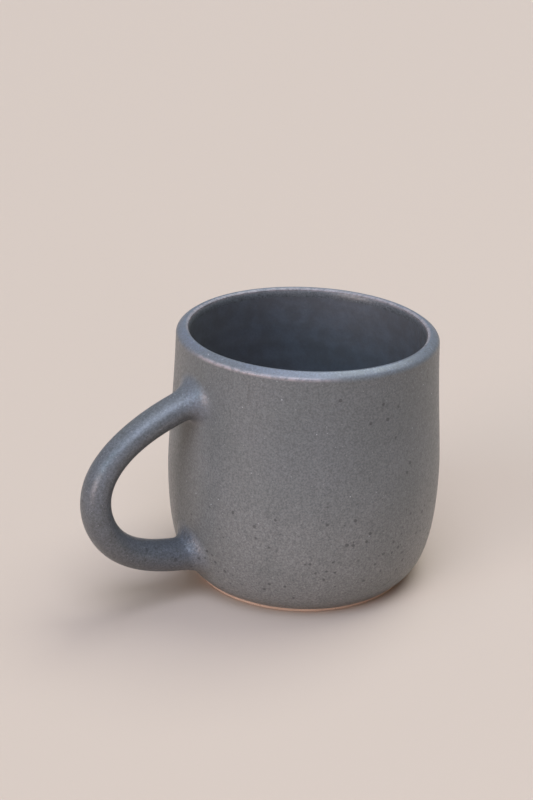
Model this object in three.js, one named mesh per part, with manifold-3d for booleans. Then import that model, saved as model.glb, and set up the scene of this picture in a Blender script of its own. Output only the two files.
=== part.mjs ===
// A wheel-thrown stoneware mug with a pulled ear handle, glazed in satin charcoal over a bare foot.
//
// Millimetres, +Z up. The origin is the centre of the flat foot, on the cup's axis. The handle points
// along -X, and the XZ plane is the mirror plane.
//
// The pieces are the ones the mug is made from: a thrown clay cup, a pulled clay handle, a pad of slip
// under each end of the handle, a coil of clay smoothed round each join, and three coats of glaze.

import * as THREE from 'three';
import { ParametricGeometry } from 'three/addons/geometries/ParametricGeometry.js';
import { mergeVertices } from 'three/addons/utils/BufferGeometryUtils.js';
import Module from 'manifold-3d';

const wasm = await Module();
wasm.setup();

// The cup, measured over its glaze
const HEIGHT = 85;
const RIM_RADIUS = 42.5;
const BELLY_RADIUS = 45;
const BELLY_HEIGHT = 37.5;
const BELLY_THICKNESS = 5;
const FLOOR_HEIGHT = 7.3;

// The lip: a rounded outer edge, a slope up to the crest, and a rounded inner edge
const EDGE_HEIGHT = HEIGHT - 1.65;
const EDGE_ROUNDING = 0.65;
const LIP_SLOPE = THREE.MathUtils.degToRad(36);
const CREST_RADIUS = 39.9;
const MOUTH_RADIUS = 38;

// The bare clay foot, below the line where the glaze stops
const FOOT_RADIUS = 34.9;
const FOOT_BEVEL = 0.6;
const GLAZE_LINE_RADIUS = 36;
const GLAZE_LINE_HEIGHT = 1.4;

// The outside glaze runs over the lip and stops this far down inside the cup
const LIP_OVERLAP = 3;

// The handle's control polygon: reach from the cup's axis, height, and half of the handle's thickness
const HANDLE_POLYGON = [
  [10, 74, 4.8],
  [44, 68.5, 4.6],
  [66.5, 59.5, 4.0],
  [78.5, 46.5, 4.4],
  [77, 31, 4.8],
  [66.5, 19, 4.8],
  [44, 13.5, 5.2],
  [10, 14, 5.6],
];
const WIDTH_TO_THICKNESS = 1.25;
const ROOT_REACH = 43.3;
const ROOT_FILLET = 4.2;
const ROOT_LENGTH = 0.16;
const BURIED_LENGTH = 6;

// Layers and the clearances between them
const GLAZE = 0.4;
const SLIP = 0.6;
const COAT_GAP = 0.05;
const CUT_GAP = 0.3;

// Facets
const FACETS_AROUND_CUP = 40;
const FACETS_AROUND_HANDLE = 14;
const RINGS_ALONG_HANDLE = 28;
const RINGS_ALONG_ROOT = 8;
const CROWD_TO_ENDS = 0.1;

const BUFF_CLAY = { color: 0xb08a72, roughness: 0.85, metalness: 0 };
const WET_SLIP = { color: 0x9c7a66, roughness: 0.9, metalness: 0 };
const CHARCOAL_GLAZE = { color: 0x6a696a, roughness: 0.42, metalness: 0 };
const LINER_GLAZE = { color: 0x565a60, roughness: 0.35, metalness: 0 };

const point = (radius, height) => new THREE.Vector2(radius, height);

// Joins curves that follow each other into one line of points.
function line(...stretches) {
  const points = stretches.flatMap(([curve, divisions]) => curve.getPoints(divisions).slice(1));
  return [stretches[0][0].getPoint(0), ...points];
}

// Moves a line of points to the left of its own direction, which is into the clay on these outlines.
function moveIn(points, distance) {
  return points.map((here, i) => {
    const before = points[Math.max(i - 1, 0)];
    const after = points[Math.min(i + 1, points.length - 1)];
    const along = after.clone().sub(before).normalize();
    return point(here.x - along.y * distance, here.y + along.x * distance);
  });
}

// From the glaze line up the outside to the start of the lip's rounded edge.
function wallLine() {
  const glazeLine = point(GLAZE_LINE_RADIUS, GLAZE_LINE_HEIGHT);
  const belly = point(BELLY_RADIUS, BELLY_HEIGHT);
  const rim = point(RIM_RADIUS, EDGE_HEIGHT - EDGE_ROUNDING);
  const lower = new THREE.CubicBezierCurve(glazeLine, point(38.2, 4.1), point(BELLY_RADIUS, 6), belly);
  const upper = new THREE.CubicBezierCurve(belly, point(BELLY_RADIUS, 46.6), point(43.1, 62.5), rim);
  return line([lower, 6], [upper, 5]);
}

// The wall, then over the lip and down inside to where the outside glaze stops.
function outsideLine() {
  const below = point(RIM_RADIUS, EDGE_HEIGHT - EDGE_ROUNDING);
  const edge = point(RIM_RADIUS, EDGE_HEIGHT);
  const above = point(-Math.cos(LIP_SLOPE), Math.sin(LIP_SLOPE)).multiplyScalar(EDGE_ROUNDING).add(edge);
  const top = point(above.x - (HEIGHT - above.y) / Math.tan(LIP_SLOPE), HEIGHT);
  const crest = point(CREST_RADIUS, HEIGHT);
  const innerTop = point(38.8, HEIGHT);
  const innerEdge = point(MOUTH_RADIUS, HEIGHT - 0.6);
  const mouth = point(MOUTH_RADIUS, HEIGHT - LIP_OVERLAP);
  const roundedEdge = new THREE.QuadraticBezierCurve(below, edge, above);
  const slope = new THREE.QuadraticBezierCurve(above, top, crest);
  const inwards = new THREE.CubicBezierCurve(crest, innerTop, innerEdge, mouth);
  return [...wallLine(), ...line([roundedEdge, 3], [slope, 2], [inwards, 4]).slice(1)];
}

// From the top of the liner glaze down the inside to the middle of the floor.
function insideLine() {
  const top = point(MOUTH_RADIUS, HEIGHT - LIP_OVERLAP - 2 * COAT_GAP);
  const belly = point(BELLY_RADIUS - BELLY_THICKNESS, BELLY_HEIGHT);
  const floorEdge = point(20, FLOOR_HEIGHT);
  const neck = new THREE.CubicBezierCurve(top, point(38.4, 60), point(belly.x, 48), belly);
  const bowl = new THREE.CubicBezierCurve(belly, point(belly.x, 16), point(36, FLOOR_HEIGHT), floorEdge);
  const floor = new THREE.LineCurve(floorEdge, point(0, FLOOR_HEIGHT));
  return line([neck, 4], [bowl, 6], [floor, 1]);
}

// Turns an outline in radius and height round the cup's axis.
function turned(outline) {
  return new THREE.LatheGeometry(outline, FACETS_AROUND_CUP).rotateX(Math.PI / 2);
}

// The clay cup: the glazed outlines moved in by one coat, closed by the bevelled foot.
function cupGeometry() {
  const depth = GLAZE + COAT_GAP;
  const foot = [
    point(0, 0),
    point(FOOT_RADIUS, 0),
    point(FOOT_RADIUS + FOOT_BEVEL, FOOT_BEVEL),
  ];
  return turned([...foot, ...moveIn(outsideLine(), depth), ...moveIn(insideLine(), depth)]);
}

// A coat of glaze under an outline.
function coatGeometry(outline) {
  return turned([...outline, ...moveIn(outline, GLAZE).reverse(), outline[0].clone()]);
}

// A closed geometry as a solid that can be cut, with its shared corners merged.
function solid(geometry) {
  geometry.deleteAttribute('normal');
  geometry.deleteAttribute('uv');
  const merged = mergeVertices(geometry, 1e-4);
  const corners = merged.getIndex().array;
  const triangles = [];
  for (let i = 0; i < corners.length; i += 3) {
    const [a, b, c] = corners.slice(i, i + 3);
    if (a !== b && b !== c && c !== a) triangles.push(a, b, c);
  }
  const vertProperties = merged.getAttribute('position').array;
  const mesh = new wasm.Mesh({ numProp: 3, vertProperties, triVerts: Uint32Array.from(triangles) });
  return new wasm.Manifold(mesh);
}

// A solid back as a geometry.
function geometryOf(cutSolid) {
  const { vertProperties, triVerts } = cutSolid.getMesh();
  const geometry = new THREE.BufferGeometry();
  geometry.setAttribute('position', new THREE.BufferAttribute(vertProperties, 3));
  geometry.setIndex(new THREE.BufferAttribute(triVerts, 1));
  return geometry;
}

// Everything inside the cup's outer wall, with the wall moved out by a distance.
function cupEnvelope(distance) {
  const wall = moveIn(wallLine(), -distance);
  return solid(turned([point(0, wall[0].y), ...wall, point(0, wall.at(-1).y)]));
}

// Reach, height and half thickness on the handle's centreline, a uniform cubic B-spline.
class HandleCurve extends THREE.Curve {
  getPoint(t, target = new THREE.Vector3()) {
    const spans = HANDLE_POLYGON.length - 3;
    const span = Math.min(Math.floor(t * spans), spans - 1);
    const u = t * spans - span;
    const weights = [
      (1 - u) ** 3,
      3 * u ** 3 - 6 * u ** 2 + 4,
      1 + 3 * u + 3 * u ** 2 - 3 * u ** 3,
      u ** 3,
    ];
    target.set(0, 0, 0);
    weights.forEach((weight, i) => {
      const [reach, height, half] = HANDLE_POLYGON[span + i];
      target.addScaledVector(new THREE.Vector3(reach, height, half), weight / 6);
    });
    return target;
  }
}

// How far the concave root fillet stands out from the handle's arm.
function filletAt(reach) {
  const fromEnd = ROOT_FILLET - Math.min(Math.max(reach - ROOT_REACH, 0), ROOT_FILLET);
  return ROOT_FILLET - Math.sqrt(ROOT_FILLET ** 2 - fromEnd ** 2);
}

// An oval swept along the handle from one place to another, run on straight past both ends and closed by
// flat caps. Its surface lies a distance under the glazed surface, and it may flare at the roots.
function sweptHandle({ under, flared, from = 0, to = 1, rings = RINGS_ALONG_HANDLE }) {
  const curve = new HandleCurve();
  const stations = rings + 4;
  const surface = (around, along, target) => {
    const station = Math.round(along * stations);
    const v = Math.min(Math.max((station - 2) / rings, 0), 1);
    const t = from + (to - from) * (v - CROWD_TO_ENDS * Math.sin(2 * Math.PI * v));
    const tangent = curve.getTangent(t).setZ(0).normalize();
    const pastEnd = station < 2 ? -BURIED_LENGTH : station > rings + 2 ? BURIED_LENGTH : 0;
    const { x: reach, y: height, z: half } = curve.getPoint(t).addScaledVector(tangent, pastEnd);
    const added = (flared ? filletAt(reach) : 0) - under;
    const size = station === 0 || station === stations ? 0 : 1;
    const angle = 2 * Math.PI * around;
    const across = size * (half + added) * Math.cos(angle);
    const aside = size * (half * WIDTH_TO_THICKNESS + added) * Math.sin(angle);
    target.set(tangent.y * across - reach, aside, height + tangent.x * across);
  };
  return solid(new ParametricGeometry(surface, FACETS_AROUND_HANDLE, stations));
}

// The two places where the handle joins the cup.
const ROOTS = {
  upper: { from: 0, to: ROOT_LENGTH, rings: RINGS_ALONG_ROOT },
  lower: { from: 1 - ROOT_LENGTH, to: 1, rings: RINGS_ALONG_ROOT },
};

const clayWall = -GLAZE - COAT_GAP;
const slipBottom = clayWall + CUT_GAP;
const slipTop = slipBottom + SLIP;
const coreDepth = GLAZE + CUT_GAP;

// The pulled clay arm, whose ends stand on the slip.
function handleGeometry() {
  const arm = sweptHandle({ under: coreDepth, flared: false });
  return geometryOf(arm.subtract(cupEnvelope(slipTop + CUT_GAP)));
}

// The pad of slip between the cup and one end of the handle.
function slipGeometry(root) {
  const column = sweptHandle({ under: coreDepth + CUT_GAP, flared: false, ...root });
  return geometryOf(column.intersect(cupEnvelope(slipTop)).subtract(cupEnvelope(slipBottom)));
}

// The coil of clay smoothed into the corner round one end of the handle.
function coilGeometry(root) {
  const flares = sweptHandle({ under: coreDepth, flared: true });
  const arm = sweptHandle({ under: GLAZE, flared: false });
  const thisRoot = sweptHandle({ under: 0, flared: true, ...root });
  return geometryOf(flares.subtract(arm).intersect(thisRoot).subtract(cupEnvelope(slipBottom)));
}

// The outside coat, open where the handle's two roots sit on bare clay.
function outerGlazeGeometry() {
  const roots = sweptHandle({ under: GLAZE, flared: true });
  return geometryOf(solid(coatGeometry(outsideLine())).subtract(roots));
}

// The coat over the handle and its two coils.
function handleGlazeGeometry() {
  const outer = sweptHandle({ under: 0, flared: true });
  const inner = sweptHandle({ under: GLAZE, flared: true });
  return geometryOf(outer.subtract(inner).subtract(cupEnvelope(CUT_GAP)));
}

const mug = new THREE.Group();

function addPiece(name, geometry, look) {
  const mesh = new THREE.Mesh(geometry, new THREE.MeshStandardMaterial(look));
  mesh.name = name;
  mug.add(mesh);
}

addPiece('cup_body', cupGeometry(), BUFF_CLAY);
addPiece('handle', handleGeometry(), BUFF_CLAY);
for (const [place, root] of Object.entries(ROOTS)) {
  addPiece(`${place}_luting_slip`, slipGeometry(root), WET_SLIP);
  addPiece(`${place}_root_coil`, coilGeometry(root), BUFF_CLAY);
}
addPiece('outer_glaze', outerGlazeGeometry(), CHARCOAL_GLAZE);
addPiece('liner_glaze', coatGeometry(insideLine()), LINER_GLAZE);
addPiece('handle_glaze', handleGlazeGeometry(), CHARCOAL_GLAZE);

export default mug;
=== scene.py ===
"""A thrown stoneware mug in a satin charcoal glaze: fine clay, fine coats of glaze, and their materials."""

import math

import bmesh
import bpy
import numpy as np
from mathutils import Matrix, Vector


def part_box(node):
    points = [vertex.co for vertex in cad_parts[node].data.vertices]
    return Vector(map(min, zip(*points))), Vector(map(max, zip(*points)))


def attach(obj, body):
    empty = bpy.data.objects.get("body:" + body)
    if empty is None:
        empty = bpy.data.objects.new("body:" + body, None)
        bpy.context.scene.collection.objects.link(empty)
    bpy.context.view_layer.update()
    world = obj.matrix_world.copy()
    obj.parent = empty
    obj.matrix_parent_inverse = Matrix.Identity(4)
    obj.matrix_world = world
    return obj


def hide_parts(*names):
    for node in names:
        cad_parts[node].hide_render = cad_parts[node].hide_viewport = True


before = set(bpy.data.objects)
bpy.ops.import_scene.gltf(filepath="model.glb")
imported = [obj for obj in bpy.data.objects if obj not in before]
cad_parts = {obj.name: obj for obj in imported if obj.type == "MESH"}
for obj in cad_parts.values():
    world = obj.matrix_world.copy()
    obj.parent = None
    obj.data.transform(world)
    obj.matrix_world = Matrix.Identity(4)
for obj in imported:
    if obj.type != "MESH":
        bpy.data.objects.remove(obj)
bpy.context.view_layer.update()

MM = 0.001

# ---------------------------------------------------------------- sizes

coat_low, coat_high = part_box("outer_glaze")

# The cup over its glaze
HEIGHT = coat_high.z
BELLY_RADIUS = coat_high.x
BELLY_HEIGHT = 37.5 * MM
BELLY_THICKNESS = 5.0 * MM
FLOOR_HEIGHT = 7.3 * MM
FLAT_FLOOR_RADIUS = 20 * MM

# The lip: its outer edge, the slope up to its crest, and the mouth
RIM_RADIUS = 42.5 * MM
MOUTH_RADIUS = 38.0 * MM
LIP_CREST_RADIUS = 39.9 * MM
LIP_EDGE_HEIGHT = HEIGHT - 1.65 * MM
LIP_SLOPE = math.radians(36)
LIP_FULLNESS = 0.7
CRISP_EDGE = 0.5 * MM
SOFT_EDGE = 1.3 * MM
SHOULDER_HEIGHT = LIP_EDGE_HEIGHT - 1.7 * MM
OVERLAP_HEIGHT = HEIGHT - 3.0 * MM
CREST_PULL_RADIUS = 38.8 * MM
MOUTH_PULL_HEIGHT = HEIGHT - 0.6 * MM

# The foot and the glaze line above it
FOOT_RADIUS = 34.9 * MM
FOOT_BEVEL = 0.6 * MM
GLAZE_LINE_RADIUS = 36.0 * MM
GLAZE_LINE_HEIGHT = coat_low.z
GLAZE_LINE_FLARE = 0.8

# The points that the wall's curves pull towards. The curves are upright at the belly, inside and out, so the
# pulls under and over it are heights
OUTSIDE_FOOT_PULL = (38.2 * MM, 4.1 * MM)
OUTSIDE_NECK_PULL = (43.1 * MM, 62.5 * MM)
OUTSIDE_BELLY_PULLS = (6.0 * MM, 46.6 * MM)
INSIDE_NECK_PULL = (38.4 * MM, 60 * MM)
INSIDE_FLOOR_PULL = (36 * MM, FLOOR_HEIGHT)
INSIDE_BELLY_PULLS = (16 * MM, 48 * MM)

# The traces of hand work. Directions are angles round the cup's axis from +X
OVAL_SWELL = 0.0022
THREE_SIDED_SWELL = 0.0012
RIM_TILT = 0.011
TILT_FROM = 0.45 * HEIGHT
TILT_DIRECTION = math.radians(-34.5)
CRISP_DIRECTION = math.radians(213)
THIN_DIRECTION = math.radians(50)
GLAZE_LINE_WANDER = 0.22 * MM
THROWING_RING_DEPTH = 0.03 * MM
THROWING_RING_PITCH = 6.5 * MM
TRIMMING_RING_DEPTH = 0.14 * MM
TRIMMING_RING_PITCH = 2.6 * MM

# The handle's control polygon: reach from the cup's axis, height, half thickness
HANDLE_POLYGON = MM * np.array([
    (10, 74, 4.8),
    (44, 68.5, 4.6),
    (66.5, 59.5, 4.0),
    (78.5, 46.5, 4.4),
    (77, 31, 4.8),
    (66.5, 19, 4.8),
    (44, 13.5, 5.2),
    (10, 14, 5.6),
])
WIDTH_TO_THICKNESS = 1.25

# Where each root's fillet ends on the wall, from the root's middle: outside the loop, inside it, and
# sideways
UPPER_ROOT = {"height": 67.9 * MM, "outside": 8.5 * MM, "inside": 8.2 * MM, "aside": 11.4 * MM, "up": 1}
LOWER_ROOT = {"height": 14.6 * MM, "outside": 8.2 * MM, "inside": 11.8 * MM, "aside": 11.4 * MM, "up": -1}
FILLET_REACH = 48.5 * MM
FILLET_FULLNESS = 0.62

# How far what lies in a root reaches, as a share of its fillet: the arm's clay, the bulge of slip round it,
# the coil's outer edge, floor and inner edge, the hole in the cup's coat, and the edge of the handle's coat,
# tucked under the cup's
ARM_SHARE = 0.52
SLIP_BULGE = 0.04
COIL_SHARE = 0.78
COIL_FLOOR_SHARES = (0.7, 0.62)
COIL_INNER_SHARE = 0.58
HOLE_SHARE = 0.82
TUCK_SHARE = 1.08
COIL_LAP = 0.6 * MM
HOLE_DEPTH = 1.4 * MM
HOLE_CLEARANCE = 1.0 * MM

# Layers
GLAZE = 0.4 * MM
GAP = 0.02 * MM
CLAY_DEPTH = GLAZE + 0.05 * MM
SLIP = 0.6 * MM

# Mesh density
AROUND = 256
ALONG_WALL = 44
ALONG_INSIDE = 60
ACROSS_FLOOR = 30
UNDER_FOOT = 70
FOOT_BEVEL_STEPS = 6
SHOULDER_STEPS = 3
LIP_EDGE_STEPS = 10
LIP_SLOPE_STEPS = 14
LIP_CREST_STEPS = 18
HANDLE_SIDES = 96
HANDLE_RINGS = 150
FILLET_STEPS = 18
DISC_RINGS = 6
PLUG_RINGS = 3


# ---------------------------------------------------------------- outlines


def bezier(points, divisions):
    """Points along a cubic curve, its ends included."""
    a, b, c, d = (np.array(p, float) for p in points)
    t = np.linspace(0, 1, divisions + 1)[:, None]
    return (1 - t) ** 3 * a + 3 * (1 - t) ** 2 * t * b + 3 * (1 - t) * t**2 * c + t**3 * d


def bent(start, corner, end, divisions):
    """A cubic curve that turns the corner between two points, drawn most of the way into it."""
    start, corner, end = (np.array(p, float) for p in (start, corner, end))
    pulls = start + LIP_FULLNESS * (corner - start), end + LIP_FULLNESS * (corner - end)
    return bezier([start, *pulls, end], divisions)


def straight(start, end, divisions):
    return np.linspace(start, end, divisions + 1)


def joined(*stretches):
    """One line of points from stretches that follow each other."""
    return np.concatenate([stretches[0], *(stretch[1:] for stretch in stretches[1:])])


def run_along(line):
    """How far along a line each of its points is."""
    return np.concatenate([[0], np.cumsum(np.linalg.norm(np.diff(line, axis=0), axis=1))])


def moved_in(outline, distance):
    """An outline moved to the left of its own direction, which is into the clay."""
    along = np.gradient(outline, axis=0)
    along /= np.linalg.norm(along, axis=1, keepdims=True)
    return outline + distance * np.stack([-along[:, 1], along[:, 0]], -1)


def smooth_step(value, low, high):
    t = np.clip((value - low) / (high - low), 0, 1)
    return t * t * (3 - 2 * t)


def near_direction(angle, direction, full, none):
    """1 within full degrees of a direction round the cup, falling to 0 at none degrees from it."""
    apart = abs((angle - direction + math.pi) % (2 * math.pi) - math.pi)
    return 1 - smooth_step(apart, math.radians(full), math.radians(none))


def lip_crispness(angle):
    """1 where the lip's outer edge was left crisp, beside the handle, and 0 where it was sponged round."""
    return near_direction(angle, CRISP_DIRECTION, 18, 44)


def glaze_line(angle):
    """The height of the dip line, which wanders a little round the foot."""
    wander = 0.5 * math.sin(2 * angle + 0.6) + 0.3 * math.sin(5 * angle + 2.0) + 0.2 * math.sin(11 * angle)
    return GLAZE_LINE_HEIGHT + GLAZE_LINE_WANDER * wander


def wall_outline(angle):
    """Up the outside, from the glaze line to the shoulder under the lip's edge."""
    line_height = glaze_line(angle)
    start = (GLAZE_LINE_RADIUS + GLAZE_LINE_FLARE * (line_height - GLAZE_LINE_HEIGHT), line_height)
    belly = (BELLY_RADIUS, BELLY_HEIGHT)
    shoulder = (RIM_RADIUS, SHOULDER_HEIGHT)
    under_belly, over_belly = ((BELLY_RADIUS, height) for height in OUTSIDE_BELLY_PULLS)
    lower = [start, OUTSIDE_FOOT_PULL, under_belly, belly]
    upper = [belly, over_belly, OUTSIDE_NECK_PULL, shoulder]
    return joined(bezier(lower, ALONG_WALL), bezier(upper, ALONG_WALL))


def lip_outline(rounding):
    """Over the lip: round or crisp at its outer edge, up a slope to the crest, and down into the mouth."""
    edge = np.array([RIM_RADIUS, LIP_EDGE_HEIGHT])
    up_slope = np.array([-math.cos(LIP_SLOPE), math.sin(LIP_SLOPE)])
    below, above = edge - (0, rounding), edge + rounding * up_slope
    slope_top = above + (HEIGHT - above[1]) / up_slope[1] * up_slope
    crest = (LIP_CREST_RADIUS, HEIGHT)
    mouth = (MOUTH_RADIUS, OVERLAP_HEIGHT)
    return joined(
        straight((RIM_RADIUS, SHOULDER_HEIGHT), below, SHOULDER_STEPS),
        bent(below, edge, above, LIP_EDGE_STEPS),
        bent(above, slope_top, crest, LIP_SLOPE_STEPS),
        bezier(
            [crest, (CREST_PULL_RADIUS, HEIGHT), (MOUTH_RADIUS, MOUTH_PULL_HEIGHT), mouth], LIP_CREST_STEPS
        ),
    )


def outside_outline(angle, rounding=SOFT_EDGE):
    return joined(wall_outline(angle), lip_outline(rounding))


def inside_outline(angle):
    """Down the inside from the outside glaze's edge to the middle of the floor, with faint throwing rings."""
    mouth = (MOUTH_RADIUS, OVERLAP_HEIGHT)
    belly = (BELLY_RADIUS - BELLY_THICKNESS, BELLY_HEIGHT)
    floor_edge = (FLAT_FLOOR_RADIUS, FLOOR_HEIGHT)
    under_belly, over_belly = ((belly[0], height) for height in INSIDE_BELLY_PULLS)
    neck = [mouth, INSIDE_NECK_PULL, over_belly, belly]
    bowl = [belly, under_belly, INSIDE_FLOOR_PULL, floor_edge]
    line = joined(
        bezier(neck, ALONG_INSIDE),
        bezier(bowl, ALONG_INSIDE),
        straight(floor_edge, (0, FLOOR_HEIGHT), ACROSS_FLOOR),
    )
    run = run_along(line)
    fade = smooth_step(run, 0, 12 * MM) * smooth_step(line[:, 0], 1 * MM, 8 * MM)
    ripple = THROWING_RING_DEPTH * fade * np.sin(2 * math.pi * run / THROWING_RING_PITCH + angle)
    into_clay = moved_in(line, 1.0) - line
    return line + ripple[:, None] * into_clay


def foot_outline():
    """From the middle of the underside to the bare clay above the bevel, with the trimming's rings."""
    radius = np.linspace(0, FOOT_RADIUS, UNDER_FOOT)
    groove = 0.5 - 0.5 * np.cos(2 * math.pi * radius / TRIMMING_RING_PITCH)
    fade = smooth_step(radius, 1 * MM, 5 * MM) * (1 - smooth_step(radius, 28 * MM, 32 * MM))
    underside = np.stack([radius, TRIMMING_RING_DEPTH * groove * fade], -1)
    bevel = [
        (FOOT_RADIUS, 0),
        (FOOT_RADIUS + 0.5 * FOOT_BEVEL, 0),
        (FOOT_RADIUS + FOOT_BEVEL, 0.4 * FOOT_BEVEL),
        (FOOT_RADIUS + FOOT_BEVEL, FOOT_BEVEL),
    ]
    return joined(underside, bezier(bevel, FOOT_BEVEL_STEPS))


# ---------------------------------------------------------------- materials


class Shader:
    """A material's node tree, with short names for the nodes that these materials use."""

    def __init__(self, name):
        self.material = bpy.data.materials.new(name)
        self.material.use_nodes = True
        self.tree = self.material.node_tree
        self.principled = self.tree.nodes["Principled BSDF"]

    def node(self, kind, **settings):
        made = self.tree.nodes.new(kind)
        for key, value in settings.items():
            setattr(made, key, value)
        return made

    def link(self, value, socket):
        """Sets a socket to a number or a colour, or links it to another node's output."""
        if isinstance(value, bpy.types.NodeSocket):
            self.tree.links.new(value, socket)
        else:
            socket.default_value = value

    def place(self):
        return self.node("ShaderNodeTexCoord").outputs["Object"]

    def height(self):
        split = self.node("ShaderNodeSeparateXYZ")
        self.link(self.place(), split.inputs[0])
        return split.outputs["Z"]

    def drawn_out(self, times):
        """Places whose heights are squeezed together, which draws a pattern out down the wall."""
        made = self.node("ShaderNodeMapping")
        self.link(self.place(), made.inputs["Vector"])
        made.inputs["Scale"].default_value = (1, 1, 1 / times)
        return made.outputs["Vector"]

    def noise(self, scale, detail=2.0, roughness=0.5, distortion=0.0, place=None):
        made = self.node("ShaderNodeTexNoise")
        self.link(place or self.place(), made.inputs["Vector"])
        made.inputs["Scale"].default_value = scale
        made.inputs["Detail"].default_value = detail
        made.inputs["Roughness"].default_value = roughness
        made.inputs["Distortion"].default_value = distortion
        return made.outputs["Fac"]

    def cells(self, scale):
        """Distance to the nearest scattered point, and random numbers for each point, named as colours."""
        made = self.node("ShaderNodeTexVoronoi")
        self.link(self.place(), made.inputs["Vector"])
        made.inputs["Scale"].default_value = scale
        split = self.node("ShaderNodeSeparateColor")
        self.link(made.outputs["Color"], split.inputs["Color"])
        return made.outputs["Distance"], split.outputs

    def maths(self, operation, a, b):
        made = self.node("ShaderNodeMath", operation=operation)
        self.link(a, made.inputs[0])
        self.link(b, made.inputs[1])
        return made.outputs[0]

    def times(self, a, b):
        return self.maths("MULTIPLY", a, b)

    def span(self, value, low, high, to_low=0.0, to_high=1.0):
        """A value taken smoothly from one range to another, and held at its ends."""
        made = self.node("ShaderNodeMapRange", interpolation_type="SMOOTHSTEP")
        for socket, number in zip(made.inputs, (value, low, high, to_low, to_high)):
            self.link(number, socket)
        return made.outputs["Result"]

    def mix(self, share, a, b):
        made = self.node("ShaderNodeMix", data_type="RGBA")
        self.link(share, made.inputs["Factor"])
        self.link(a, made.inputs["A"])
        self.link(b, made.inputs["B"])
        return made.outputs["Result"]

    def bump(self, height, distance, strength=1.0, below=None):
        made = self.node("ShaderNodeBump")
        made.inputs["Strength"].default_value = strength
        made.inputs["Distance"].default_value = distance
        self.link(height, made.inputs["Height"])
        if below is not None:
            self.link(below, made.inputs["Normal"])
        return made.outputs["Normal"]

    def mask(self, name):
        """A mask in the mesh, which is 0 all over a mesh that hasn't got it."""
        return self.node("ShaderNodeAttribute", attribute_name=name).outputs["Fac"]

    def finish(self, **values):
        """Sets or links the shader's own sockets, and gives the material."""
        for name, value in values.items():
            self.link(value, self.principled.inputs[name.replace("_", " ")])
        return self.material


def rgb(red, green, blue):
    return (red, green, blue, 1.0)


def darker(colour, share):
    return rgb(*(share * channel for channel in colour[:3]))


CHARCOAL = rgb(0.162, 0.166, 0.166)
GLAZE_IOR = 1.6


def charcoal_body(shader, thick_and_shade, doubled_and_sheen):
    """The glaze's colour: paler and warmer low down, partly a painted bounce of light from the floor; darker
    where thick, bluer where two coats overlap, and both of these also paint light on the handle and lip.
    """
    # Paler and warmer towards the bottom, partly a painted bounce of light from the floor
    rise = shader.span(shader.height(), 18 * MM, 66 * MM)
    colour = shader.mix(rise, rgb(0.231, 0.226, 0.216), CHARCOAL)
    # Darker and bluer where thick, which near the lower root also paints shade on the arm's top
    colour = shader.mix(thick_and_shade, colour, rgb(0.127, 0.132, 0.147))
    # Bluer where two coats overlap, which also paints the cool highlight on the lip and the handle's roots
    colour = shader.mix(doubled_and_sheen, colour, rgb(0.149, 0.163, 0.205))
    clouds = shader.span(shader.noise(75, 3), 0.3, 0.7, 0.0, 0.4)
    return shader.mix(clouds, colour, rgb(0.143, 0.15, 0.14))


def pepper(shader, colour, thick_and_shade, doubled_and_sheen):
    """Soft dark mottle and fine dark pits."""
    most = shader.span(thick_and_shade, 0.0, 1.0, 0.22, 0.45)
    mottle = shader.span(shader.noise(480, 3, 0.6), 0.35, 0.7, 0.0, most)
    colour = shader.mix(mottle, colour, darker(CHARCOAL, 0.62))
    share = shader.span(doubled_and_sheen, 0.0, 1.0, 0.75, 0.55)
    pits = shader.times(shader.span(shader.noise(1600, 3, 0.7), 0.3, 0.7), share)
    pit_colour = shader.mix(thick_and_shade, darker(CHARCOAL, 0.4), darker(CHARCOAL, 0.24))
    return shader.mix(pits, colour, pit_colour)


def salt(shader, colour, thick_and_shade):
    """Pale dust all over, and a few white grains, which a thick coat hides."""
    distance, chance = shader.cells(720)
    dust = shader.times(
        shader.span(distance, 0.07, 0.16, 1.0, 0.0),
        shader.span(chance["Red"], 0.45, 0.6),
    )
    colour = shader.mix(shader.times(dust, 0.5), colour, rgb(0.33, 0.325, 0.325))
    grains = shader.times(dust, shader.span(chance["Green"], 0.935, 0.99))
    grains = shader.times(grains, shader.span(thick_and_shade, 0.0, 0.6, 1.0, 0.0))
    return shader.mix(grains, colour, rgb(0.5, 0.5, 0.52))


def runs(shader, colour):
    """Faint dark streaks under the rim, where the glaze ran."""
    streaks = shader.span(shader.noise(650, 1, place=shader.drawn_out(14)), 0.66, 0.76, 0.0, 0.35)
    under_rim = shader.span(shader.height(), 60 * MM, 72 * MM)
    return shader.mix(shader.times(streaks, under_rim), colour, darker(CHARCOAL, 0.3))


def iron_specks(shader, colour):
    """Dark round specks of many sizes, crowded low on the wall, but few right above the foot."""
    distance, chance = shader.cells(350)
    rarer_upwards = shader.span(shader.height(), 12 * MM, 56 * MM, 0.1, 0.93)
    rarer_at_foot = shader.span(shader.height(), 5 * MM, 9 * MM, 0.93, 0.0)
    chosen = shader.maths(
        "GREATER_THAN", chance["Green"], shader.maths("MAXIMUM", rarer_upwards, rarer_at_foot)
    )
    radius = shader.span(chance["Blue"], 0.0, 1.0, 0.15, 0.28)
    inside = shader.span(shader.maths("SUBTRACT", radius, distance), 0.0, 0.11)
    speck = shader.times(inside, chosen)
    return shader.mix(shader.times(speck, 0.7), colour, rgb(0.035, 0.035, 0.037))


def thin_edges(shader, colour):
    """Paler, warmer glaze, in patches, where it ran off the lip's edges."""
    patches = shader.span(shader.noise(700, 3, 0.7), 0.35, 0.6, 0.25, 0.85)
    return shader.mix(shader.times(shader.mask("thin"), patches), colour, rgb(0.34, 0.285, 0.285))


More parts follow.
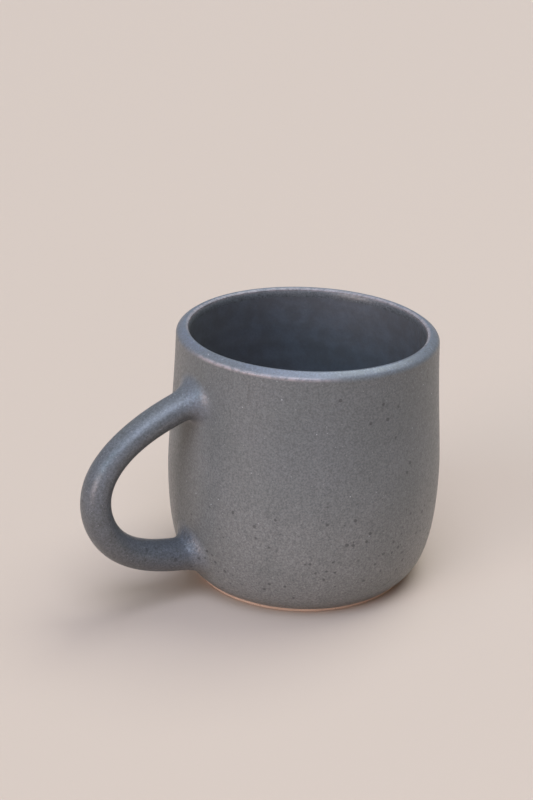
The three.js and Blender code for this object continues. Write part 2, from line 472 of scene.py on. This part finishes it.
def charcoal_surface(shader, thick_and_shade, doubled_and_sheen):
    """A pebbled satin surface on slow waves, wrinkled where a thick coat lies on the cup's."""
    pebbles = shader.bump(shader.noise(1100, 2, 0.55), 0.035 * MM, 0.55)
    waves = shader.bump(shader.noise(240, 1), 0.06 * MM, 0.6, below=pebbles)
    folds = shader.noise(450, 2, 0.6, distortion=1.5)
    wrinkles = shader.times(shader.times(thick_and_shade, doubled_and_sheen), folds)
    return shader.bump(wrinkles, 1.8 * MM, below=waves)


def charcoal_glaze():
    """Satin black-grey glaze over speckled stoneware."""
    shader = Shader("charcoal_glaze")
    thick_and_shade, doubled_and_sheen = shader.mask("thick_and_shade"), shader.mask("doubled_and_sheen")
    colour = charcoal_body(shader, thick_and_shade, doubled_and_sheen)
    colour = pepper(shader, colour, thick_and_shade, doubled_and_sheen)
    colour = salt(shader, colour, thick_and_shade)
    colour = runs(shader, colour)
    colour = iron_specks(shader, colour)
    colour = thin_edges(shader, colour)
    roughness = shader.span(shader.noise(900, 2), 0.3, 0.7, 0.34, 0.46)
    surface = charcoal_surface(shader, thick_and_shade, doubled_and_sheen)
    return shader.finish(Base_Color=colour, Roughness=roughness, Normal=surface, IOR=GLAZE_IOR)


def liner_glaze():
    """The smoother, bluer glaze inside the cup."""
    shader = Shader("liner_glaze")
    ground = rgb(0.118, 0.123, 0.137)
    clouds = shader.span(shader.noise(190, 4, 0.6), 0.35, 0.65, 0.0, 0.65)
    colour = shader.mix(clouds, ground, rgb(0.093, 0.088, 0.088))
    grain = shader.span(shader.noise(1500, 2, 0.6), 0.3, 0.7, 0.0, 0.35)
    colour = shader.mix(grain, colour, darker(ground, 0.65))
    roughness = shader.span(shader.noise(700, 2), 0.3, 0.7, 0.32, 0.46)
    pebbles = shader.bump(shader.noise(1000, 2, 0.5), 0.02 * MM, 0.5)
    waves = shader.bump(shader.noise(160, 2), 0.12 * MM, 0.6, below=pebbles)
    return shader.finish(Base_Color=colour, Roughness=roughness, Normal=waves, IOR=GLAZE_IOR)


def clay(name, ground, grit):
    """Bare fired clay: a dry surface with sand and iron grit in it."""
    shader = Shader(name)
    clouds = shader.span(shader.noise(110, 3), 0.3, 0.7, 0.0, 0.5)
    colour = shader.mix(clouds, ground, darker(ground, 0.84))
    sand = shader.span(shader.noise(2200, 3, 0.7), 0.35, 0.7, 0.0, 0.35)
    colour = shader.mix(sand, colour, darker(ground, 0.6))
    distance, chance = shader.cells(900)
    speck = shader.times(
        shader.span(distance, 0.12, 0.24, 1.0, 0.0),
        shader.span(chance["Red"], 0.72, 0.8),
    )
    colour = shader.mix(shader.times(speck, 0.8), colour, grit)
    rough = shader.bump(shader.noise(1700, 3, 0.65), 0.05 * MM, 0.7)
    return shader.finish(Base_Color=colour, Roughness=0.88, Normal=rough, IOR=1.45)


MATERIALS = {
    "charcoal_glaze": charcoal_glaze(),
    "liner_glaze": liner_glaze(),
    "bare_clay": clay("bare_clay", rgb(0.62, 0.43, 0.32), rgb(0.16, 0.09, 0.06)),
    "dried_slip": clay("dried_slip", rgb(0.5, 0.35, 0.27), rgb(0.13, 0.08, 0.055)),
}


# ---------------------------------------------------------------- meshes


def hand_made(points):
    """The small unevenness of a thrown cup, the same for every piece, so that no two of them part."""
    x, y, z = points.T
    angle = np.arctan2(y, x)
    rise = np.clip(z / HEIGHT, 0, 1)
    oval = OVAL_SWELL * rise * np.cos(2 * angle + 0.9)
    swell = oval + THREE_SIDED_SWELL * np.cos(3 * angle + 2.2)
    outward = x * math.cos(TILT_DIRECTION) + y * math.sin(TILT_DIRECTION)
    drop = -RIM_TILT * outward * smooth_step(z, TILT_FROM, HEIGHT)
    return np.stack([x * (1 + swell), y * (1 + swell), z + drop], -1)


def mesh_object(name, points, faces, **masks):
    """A smooth closed mesh, with its faces turned outwards, and named masks that its material reads."""
    mesh = bpy.data.meshes.new(name)
    mesh.from_pydata(hand_made(points).tolist(), [], faces)
    for mask, values in masks.items():
        mesh.attributes.new(mask, "FLOAT", "POINT").data.foreach_set("value", np.ravel(values))
    body = bmesh.new()
    body.from_mesh(mesh)
    bmesh.ops.remove_doubles(body, verts=body.verts, dist=1e-7)
    bmesh.ops.recalc_face_normals(body, faces=body.faces)
    body.to_mesh(mesh)
    body.free()
    mesh.polygons.foreach_set("use_smooth", [True] * len(mesh.polygons))
    mesh.set_sharp_from_angle(angle=math.radians(50))
    piece = bpy.data.objects.new(name, mesh)
    bpy.context.collection.objects.link(piece)
    return piece


def grid_faces(rows, columns, close_rows, close_columns):
    """Quads over a grid of points, which may close on itself in either direction."""
    faces = []
    for i in range(rows if close_rows else rows - 1):
        for j in range(columns if close_columns else columns - 1):
            here, below = i * columns, (i + 1) % rows * columns
            beside = (j + 1) % columns
            faces.append((here + j, below + j, below + beside, here + beside))
    return faces


def turned(name, outline_at, closed, masks_at=None):
    """A body of revolution whose outline may change round the axis."""
    rings, masks = [], {}
    for i in range(AROUND):
        angle = 2 * math.pi * i / AROUND
        radius, height = outline_at(angle).T
        rings.append(np.stack([radius * math.cos(angle), radius * math.sin(angle), height], -1))
        if masks_at:
            for mask, values in masks_at(angle, radius, height).items():
                masks.setdefault(mask, []).append(values)
    grid = np.array(rings)
    faces = grid_faces(AROUND, grid.shape[1], True, closed)
    return mesh_object(name, grid.reshape(-1, 3), faces, **masks)


def tube(name, rings, close_rows, **masks):
    """A body through rings of points."""
    grid = np.array(rings)
    faces = grid_faces(*grid.shape[:2], close_rows, True)
    return mesh_object(name, grid.reshape(-1, 3), faces, **masks)


def show_as(piece, node, slot):
    """Puts a piece in the place of a CAD node, with its slot's material."""
    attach(piece, "root")
    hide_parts(node)
    piece.data.materials.clear()
    piece.data.materials.append(MATERIALS[slot])


# ---------------------------------------------------------------- the cup


def cup_outline(angle):
    outside = moved_in(outside_outline(angle), CLAY_DEPTH)[:-1]
    inside = moved_in(inside_outline(angle), CLAY_DEPTH)
    return np.concatenate([foot_outline(), outside, inside])


def make_cup():
    cup = turned("cup_clay", cup_outline, closed=False)
    show_as(cup, "cup_body", "bare_clay")


# ---------------------------------------------------------------- places on the wall


def measured_wall():
    """The wall's outline as a table: run up it, radius, height and outward direction."""
    line = wall_outline(0.0)
    return run_along(line), *line.T, line - moved_in(line, 1.0)


WALL_RUN, WALL_RADIUS, WALL_HEIGHT, WALL_OUT = measured_wall()
SIDE_ANGLES = 2 * math.pi * np.arange(HANDLE_SIDES) / HANDLE_SIDES


def wall_normal(run, angle):
    out = np.interp(run, WALL_RUN, WALL_OUT[:, 0])
    up = np.interp(run, WALL_RUN, WALL_OUT[:, 1])
    return np.stack([out * np.cos(angle), out * np.sin(angle), up], -1)


def on_wall(run, angle, lift):
    """Points on the glazed wall, or a distance off it."""
    radius = np.interp(run, WALL_RUN, WALL_RADIUS)
    height = np.interp(run, WALL_RUN, WALL_HEIGHT)
    surface = np.stack([radius * np.cos(angle), radius * np.sin(angle), height], -1)
    return surface + lift * wall_normal(run, angle)


def root_place(root, share):
    """Run up the wall and angle round it, of a ring about a root, at a share of its fillet's size."""
    cosine, sine = np.cos(SIDE_ANGLES), np.sin(SIDE_ANGLES)
    vertical = np.where(cosine > 0, root["outside"], root["inside"]) * cosine * root["up"]
    middle = np.interp(root["height"], WALL_HEIGHT, WALL_RUN)
    radius = np.interp(middle, WALL_RUN, WALL_RADIUS)
    return middle + share * vertical, math.pi - share * root["aside"] * sine / radius


def root_ring(root, share, lift):
    return on_wall(*root_place(root, share), lift)


def root_disc(root, share, lift, rings, from_middle):
    """Rings that cover the wall under one end of the handle, from or towards its middle."""
    start, end = (0, share) if from_middle else (share, 0)
    return [root_ring(root, s, lift) for s in np.linspace(start, end, rings + 1)]


# ---------------------------------------------------------------- the handle


def unit(vectors):
    return vectors / np.linalg.norm(vectors, axis=-1, keepdims=True)


def spline(t):
    """Reach, height and half thickness at t along the handle, a uniform cubic B-spline."""
    spans = len(HANDLE_POLYGON) - 3
    span = min(int(t * spans), spans - 1)
    u = t * spans - span
    weights = np.array([(1 - u) ** 3, 3 * u**3 - 6 * u**2 + 4, 1 + 3 * u + 3 * u**2 - 3 * u**3, u**3]) / 6
    return weights @ HANDLE_POLYGON[span : span + 4]


def arm_ring(t, under):
    """One oval section of the handle's arm, a distance under its glaze."""
    reach, height, half = spline(t)
    along = unit(spline(min(t + 1e-4, 1))[:2] - spline(max(t - 1e-4, 0))[:2])
    across = (half - under) * np.cos(SIDE_ANGLES)
    aside = (half * WIDTH_TO_THICKNESS - under) * np.sin(SIDE_ANGLES)
    return np.stack([-(reach - along[1] * across), aside, height + along[0] * across], -1)


def arm_ends():
    """Where along the handle its arm leaves one fillet and enters the other."""
    samples = np.linspace(0, 1, 2001)
    clear = [t for t in samples if spline(t)[0] > FILLET_REACH]
    return clear[0], clear[-1]


ARM_START, ARM_END = arm_ends()


def arm_rings(under):
    return np.array([arm_ring(t, under) for t in np.linspace(ARM_START, ARM_END, HANDLE_RINGS)])


def fillet(ring, direction, root, share, lift):
    """Concave curves from an arm's ring to a ring round a root, tangent to the arm and to the wall."""
    run, angle = root_place(root, share)
    foot, normal = on_wall(run, angle, lift), wall_normal(run, angle)
    fall = np.sum((foot - ring) * normal, axis=1) / np.sum(direction * normal, axis=1)
    corner = ring + fall[:, None] * direction
    pulls = ring + FILLET_FULLNESS * (corner - ring), foot + FILLET_FULLNESS * (corner - foot)
    curves = [bezier(points, FILLET_STEPS) for points in zip(ring, *pulls, foot)]
    return np.array(curves).transpose(1, 0, 2)


def handle_skin():
    """The whole surface of the handle: one root's fillet, the arm, and the other root's fillet."""
    arm = arm_rings(under=0)
    first = fillet(arm[0], unit(arm[0] - arm[1]), UPPER_ROOT, 1.0, 0.0)
    last = fillet(arm[-1], unit(arm[-1] - arm[-2]), LOWER_ROOT, 1.0, 0.0)
    return np.concatenate([first[:0:-1], arm, last[1:]])


def skin_normals(skin):
    along = np.gradient(skin, axis=0)
    around = np.roll(skin, -1, axis=1) - np.roll(skin, 1, axis=1)
    normals = unit(np.cross(around, along))
    middle = len(skin) // 2
    outward = skin[middle] - skin[middle].mean(axis=0)
    return normals if np.sum(normals[middle] * outward) > 0 else -normals


def handle_masks(count):
    """Where the handle's coat is thick, and where it lies on the cup's, by rings from either end.

    Near the lower root both are weaker on the arm's underside, outside the loop, than on its top, which
    paints shade and cool light on the top and a bounce of light from the floor underneath.
    """
    outside = 0.5 + 0.5 * np.cos(SIDE_ANGLES)
    from_upper = np.arange(count)[:, None]
    from_lower = from_upper[::-1]
    nearest = np.minimum(from_upper, from_lower)
    # Thick and dark, but near the lower root less so on the underside: painted floor bounce under the arm,
    # painted shade on its top
    thick_and_shade = smooth_step(from_upper, 2, FILLET_STEPS + 8) * smooth_step(from_lower, 0, 10 + 24 * outside)
    # A bluer band where the coat runs onto the cup's at each root, which also paints the roots' cool
    # highlight
    doubled_and_sheen = 0.45 * smooth_step(nearest, 0, 6) * (1 - smooth_step(nearest, 9, 22))
    # Near the lower root the bluer band is kept off the underside: painted cool light on the arm's top only
    doubled_and_sheen = doubled_and_sheen * np.where(from_lower < from_upper, 1 - 0.85 * outside, 1)
    none = np.zeros((1, HANDLE_SIDES))
    masks = {"thick_and_shade": thick_and_shade, "doubled_and_sheen": doubled_and_sheen}
    return {name: np.concatenate([none, rows, none, rows[::-1]]) for name, rows in masks.items()}


def make_handle_coat():
    """The coat on the handle, which thins to nothing where its fillets run out on the wall."""
    outer = handle_skin()
    count = len(outer)
    steps_in = np.minimum(np.arange(count), count - 1 - np.arange(count))
    thickness = GAP + (GLAZE - GAP) * smooth_step(steps_in, 0, FILLET_STEPS)
    inner = outer - thickness[:, None, None] * skin_normals(outer)
    upper_edge, lower_edge = (root_ring(root, TUCK_SHARE, -GAP) for root in (UPPER_ROOT, LOWER_ROOT))
    rings = [upper_edge, *outer, lower_edge, *inner[::-1]]
    coat = tube("handle_coat", rings, close_rows=True, **handle_masks(count))
    show_as(coat, "handle_glaze", "charcoal_glaze")


def make_handle_clay():
    """The pulled arm, whose ends are cut to the curve of the wall and stand on the slip."""
    lift = -CLAY_DEPTH + SLIP + GAP
    upper = root_disc(UPPER_ROOT, ARM_SHARE, lift, DISC_RINGS, from_middle=True)
    lower = root_disc(LOWER_ROOT, ARM_SHARE, lift, DISC_RINGS, from_middle=False)
    rings = [*upper, *arm_rings(under=CLAY_DEPTH), *lower]
    show_as(tube("handle_clay", rings, close_rows=False), "handle", "bare_clay")


def make_slip(name, node, root):
    """The pad of slip squeezed between the cup and one end of the handle."""
    foot_share = ARM_SHARE + 0.5 * SLIP_BULGE
    below = root_disc(root, foot_share, -CLAY_DEPTH + GAP, DISC_RINGS, from_middle=True)
    bulge = root_ring(root, ARM_SHARE + SLIP_BULGE, -CLAY_DEPTH + 0.5 * SLIP)
    above = root_disc(root, ARM_SHARE, -CLAY_DEPTH + SLIP, DISC_RINGS, from_middle=False)
    show_as(tube(name, [*below, bulge, *above], close_rows=False), node, "dried_slip")


def make_coil(name, node, root):
    """The coil of clay smoothed into the corner round one root."""
    t, step = (ARM_START, 0.004) if root is UPPER_ROOT else (ARM_END, -0.004)
    arm_end = arm_ring(t, CLAY_DEPTH - GAP)
    direction = unit(arm_end - arm_ring(t + step, CLAY_DEPTH - GAP))
    lap = direction * COIL_LAP
    outer = fillet(arm_end - lap, direction, root, COIL_SHARE, -CLAY_DEPTH + GAP)
    floor = [root_ring(root, share, -CLAY_DEPTH + GAP) for share in COIL_FLOOR_SHARES]
    inner_foot = root_ring(root, COIL_INNER_SHARE, -CLAY_DEPTH + SLIP + 2 * GAP)
    rings = [*outer, *floor, inner_foot, arm_end + lap]
    show_as(tube(name, rings, close_rows=True), node, "bare_clay")


# ---------------------------------------------------------------- coats on the cup


def outer_coat_outline(angle):
    """The clay's lip is round all the way, and the glaze on it is crisp in places."""
    rounding = SOFT_EDGE + (CRISP_EDGE - SOFT_EDGE) * lip_crispness(angle)
    underside = moved_in(outside_outline(angle), GLAZE)
    return np.concatenate([outside_outline(angle, rounding), underside[::-1]])


def liner_coat_outline(angle):
    outline = inside_outline(angle)
    return np.concatenate([outline, moved_in(outline, GLAZE)[::-1]])


def lip_masks(angle, radius, height):
    """Where the glaze ran thin on the lip's edges, where the two glazes overlap, which also paints the lip's
    cool highlight, and where they pooled.
    """
    outer_edge = np.hypot(radius - RIM_RADIUS, height - LIP_EDGE_HEIGHT)
    outer = lip_crispness(angle) * (1 - smooth_step(outer_edge, 0.2 * MM, 1.0 * MM))
    inner_edge = np.hypot(radius - (MOUTH_RADIUS + 0.8 * MM), height - (HEIGHT - 0.4 * MM))
    on_thin_side = 0.9 * near_direction(angle, THIN_DIRECTION, 85, 125)
    inner = on_thin_side * (1 - smooth_step(inner_edge, 0.35 * MM, 0.9 * MM))
    in_mouth = 1 - smooth_step(radius, MOUTH_RADIUS + 0.3 * MM, MOUTH_RADIUS + 1.0 * MM)
    pooled = in_mouth * smooth_step(height, OVERLAP_HEIGHT - 1.0 * MM, OVERLAP_HEIGHT)
    # The bluer overlap tint grows up the lip to its crest, partly a painted cool highlight
    on_lip = smooth_step(height, LIP_EDGE_HEIGHT - 1.6 * MM, HEIGHT)
    return {"thin": np.maximum(outer, inner), "doubled_and_sheen": on_lip * (1 - pooled), "thick_and_shade": pooled}


def cleaned(mesh):
    """A cut mesh without slivers, and with nothing but triangles and quads along its cut."""
    body = bmesh.new()
    body.from_mesh(mesh)
    bmesh.ops.remove_doubles(body, verts=body.verts, dist=2e-6)
    bmesh.ops.dissolve_degenerate(body, edges=body.edges, dist=2e-6)
    bmesh.ops.triangulate(body, faces=[face for face in body.faces if len(face.verts) > 4])
    body.to_mesh(mesh)
    body.free()
    return mesh


def cut_root(coat, root):
    """Opens the outside coat where a root stands on bare clay."""
    below = root_disc(root, HOLE_SHARE, -HOLE_DEPTH, PLUG_RINGS, from_middle=True)
    above = root_disc(root, HOLE_SHARE, HOLE_CLEARANCE, PLUG_RINGS, from_middle=False)
    plug = tube("plug", [*below, *above], close_rows=False)
    cut = coat.modifiers.new("root", "BOOLEAN")
    cut.operation = "DIFFERENCE"
    cut.solver = "EXACT"
    cut.object = plug
    depsgraph = bpy.context.evaluated_depsgraph_get()
    opened = bpy.data.meshes.new_from_object(coat.evaluated_get(depsgraph))
    coat.modifiers.clear()
    coat.data = cleaned(opened)
    bpy.data.objects.remove(plug)


def make_outer_coat():
    coat = turned("outer_coat", outer_coat_outline, closed=True, masks_at=lip_masks)
    for root in (UPPER_ROOT, LOWER_ROOT):
        cut_root(coat, root)
    show_as(coat, "outer_glaze", "charcoal_glaze")


def make_liner_coat():
    coat = turned("liner_coat", liner_coat_outline, closed=True)
    show_as(coat, "liner_glaze", "liner_glaze")


make_cup()
make_outer_coat()
make_liner_coat()
make_handle_clay()
make_handle_coat()
make_slip("upper_slip", "upper_luting_slip", UPPER_ROOT)
make_slip("lower_slip", "lower_luting_slip", LOWER_ROOT)
make_coil("upper_coil", "upper_root_coil", UPPER_ROOT)
make_coil("lower_coil", "lower_root_coil", LOWER_ROOT)


# ---------------------------------------------------------------- stage, light and camera

FLOOR_HALF_WIDTH = 4.0
SCREEN_RADIUS = 3.9
SCREEN_HEIGHT = 3.0
SCREEN_SIDES = 64

# Each light's azimuth, elevation and width in degrees, its strength and its colour.
# The azimuth is 0 in front of the cup, at -Y, and grows towards +X
LIGHTS = {
    "overhead": (-34.5, 90, 41, 0.95, (0.65, 0.75, 1.0)),
    "window": (-34.5, 62, 38, 1.75, (0.65, 0.76, 1.0)),
    "back": (100.5, 62, 38, 1.5, (0.9, 1.0, 0.99)),
    "left": (-79.5, 11, 23.5, 1.17, (1.0, 0.77, 0.71)),
    "high left": (-79.5, 34, 38, 0.92, (0.48, 0.77, 1.0)),
    "front": (-20, 11, 23.5, 0.19, (0.97, 0.87, 1.0)),
}
SKY_COLOUR = (1.0, 0.97, 0.92)
SKY_STRENGTH = 0.25

# The camera stands in front of the cup and to the left, a little above it, and looks down at it
CAMERA_PLACE = MM * Vector((-292.4, -425.4, 272.1))
CAMERA_HEADING = -33.085
CAMERA_DIP = 22.436
CAMERA_ROLL = 1.41
CAMERA_LENS = 76.5
CAMERA_SENSOR = 36


def plain_object(name, points, faces, material):
    """An object that is not part of the mug."""
    mesh = bpy.data.meshes.new(name)
    mesh.from_pydata(points, [], faces)
    mesh.materials.append(material)
    made = bpy.data.objects.new(name, mesh)
    bpy.context.collection.objects.link(made)
    return made


def make_floor():
    far = FLOOR_HALF_WIDTH
    corners = [(-far, -far, 0), (far, -far, 0), (far, far, 0), (-far, far, 0)]
    material = Shader("floor").finish(Base_Color=rgb(0.53, 0.41, 0.325), Roughness=0.7)
    floor = plain_object("floor", corners, [(0, 1, 2, 3)], material)


def make_backdrop():
    """A pale screen round the floor. It takes no part in the lighting, so that it doesn't shade the cup."""
    angles = np.linspace(0, 2 * math.pi, SCREEN_SIDES, endpoint=False)
    points = [
        (SCREEN_RADIUS * math.cos(angle), SCREEN_RADIUS * math.sin(angle), z)
        for z in (0, SCREEN_HEIGHT)
        for angle in angles
    ]
    glow = {"Emission_Color": rgb(0.68, 0.61, 0.55), "Emission_Strength": 1.0}
    material = Shader("backdrop").finish(Base_Color=rgb(0, 0, 0), **glow)
    screen = plain_object("backdrop", points, grid_faces(2, SCREEN_SIDES, False, True), material)
    for ray in ("diffuse", "glossy", "transmission", "volume_scatter", "shadow"):
        setattr(screen, f"visible_{ray}", False)


def make_light(name, azimuth, elevation, width, strength, colour):
    """A wide, distant light."""
    light = bpy.data.lights.new(name, "SUN")
    light.angle = math.radians(width)
    light.energy = strength
    light.color = colour
    lamp = bpy.data.objects.new(name, light)
    bpy.context.collection.objects.link(lamp)
    a, e = math.radians(azimuth), math.radians(elevation)
    towards = Vector((math.sin(a) * math.cos(e), -math.cos(a) * math.cos(e), math.sin(e)))
    lamp.matrix_world = towards.to_track_quat("Z", "Y").to_matrix().to_4x4()


def make_sky(colour, strength):
    world = bpy.data.worlds.new("room")
    world.use_nodes = True
    background = world.node_tree.nodes["Background"]
    background.inputs["Color"].default_value = colour
    background.inputs["Strength"].default_value = strength
    bpy.context.scene.world = world


def make_camera():
    camera = bpy.data.objects.new("camera", bpy.data.cameras.new("camera"))
    bpy.context.collection.objects.link(camera)
    camera.data.lens = CAMERA_LENS
    camera.data.sensor_width = CAMERA_SENSOR
    heading = Matrix.Rotation(math.radians(CAMERA_HEADING), 4, "Z")
    pitch = Matrix.Rotation(math.radians(90 - CAMERA_DIP), 4, "X")
    roll = Matrix.Rotation(math.radians(CAMERA_ROLL), 4, "Z")
    camera.matrix_world = Matrix.Translation(CAMERA_PLACE) @ heading @ pitch @ roll
    bpy.context.scene.camera = camera


make_floor()
make_backdrop()
make_sky(rgb(*SKY_COLOUR), SKY_STRENGTH)
for light_name, settings in LIGHTS.items():
    make_light(light_name, *settings)
make_camera()
bpy.context.scene.view_settings.view_transform = "Standard"
